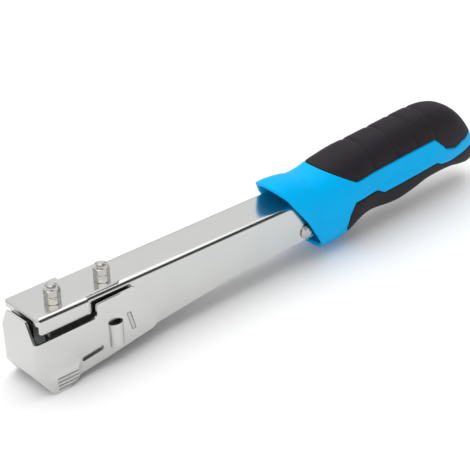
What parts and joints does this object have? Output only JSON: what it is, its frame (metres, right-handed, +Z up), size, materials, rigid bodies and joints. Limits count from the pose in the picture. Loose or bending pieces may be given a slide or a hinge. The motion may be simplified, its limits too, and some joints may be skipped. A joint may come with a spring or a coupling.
{
  "type": "staple gun",
  "caption": "Hammer-style staple gun: a steel head and arm in a moulded handle, with a spring-loaded nose and magazine that pivot on a pin and a staple rail that slides back inside the magazine.",
  "frame": {"origin": "On the striking face, in the middle of the striking plate's underside below the nose.", "axes": "+X from the nose towards the end of the handle; +Z up, away from the surface being stapled; -Y is the side with the pivot pin's round head."},
  "size_m": [0.3487, 0.039, 0.0624],
  "materials": {
    "chrome": "polished",
    "steel": "satin",
    "spring_steel": "satin",
    "blue_plastic": "glossy",
    "black_grip": "matte",
    "rubber": "matte",
    "nylon": "matte"
  },
  "bodies": {
    "arm": {"arm_channel": "chrome", "top_plate": "chrome", "driver_block": "steel", "driver_blade": "spring_steel", "driver_bolt_front": "steel", "driver_bolt_rear": "steel", "plain_nut_front": "chrome", "plain_nut_rear": "chrome", "lock_nut_front": "chrome", "lock_nut_rear": "chrome", "nylon_ring_front": "nylon", "nylon_ring_rear": "nylon", "pivot_pin": "chrome", "pivot_washer": "steel", "pivot_clip": "spring_steel", "spring_post": "steel", "handle_body": "blue_plastic", "upper_grip": "black_grip", "lower_grip": "black_grip", "handle_screw_1": "steel", "handle_screw_2": "steel"},
    "nose": {"nose_housing": "chrome", "nose_bracket": "steel", "striking_plate": "steel", "blade_guide": "steel", "magazine_channel": "steel", "bumper": "rubber", "spring_cup": "steel", "return_spring": "spring_steel", "pivot_bush_near": "steel", "pivot_bush_far": "steel"},
    "rail": {"staple_rail": "steel", "guide_rod": "spring_steel", "rail_end": "steel", "detent_spring": "spring_steel"},
    "pusher": {"pusher": "steel", "pusher_spring": "spring_steel"}
  },
  "joints": [
    {"name": "nose_swing", "type": "hinge", "parent": "arm", "child": "nose", "pos_m": [0.1767, 0, 0.0225], "axis": [0, 1, 0], "range_deg": [0, 2.8], "stiffness_Nm_per_rad": 20, "springref_deg": -11.46, "deforming": ["return_spring"]},
    {"name": "rail_slide", "type": "slide", "parent": "nose", "child": "rail", "axis": [0.9948, 0, 0.1019], "range_m": [0, 0.05], "deforming": ["detent_spring"]},
    {"name": "pusher_slide", "type": "slide", "parent": "rail", "child": "pusher", "axis": [0.9948, 0, 0.1019], "range_m": [0, 0.08], "stiffness_N_per_m": 40, "springref_m": -0.05, "deforming": ["pusher_spring"]}
  ]
}
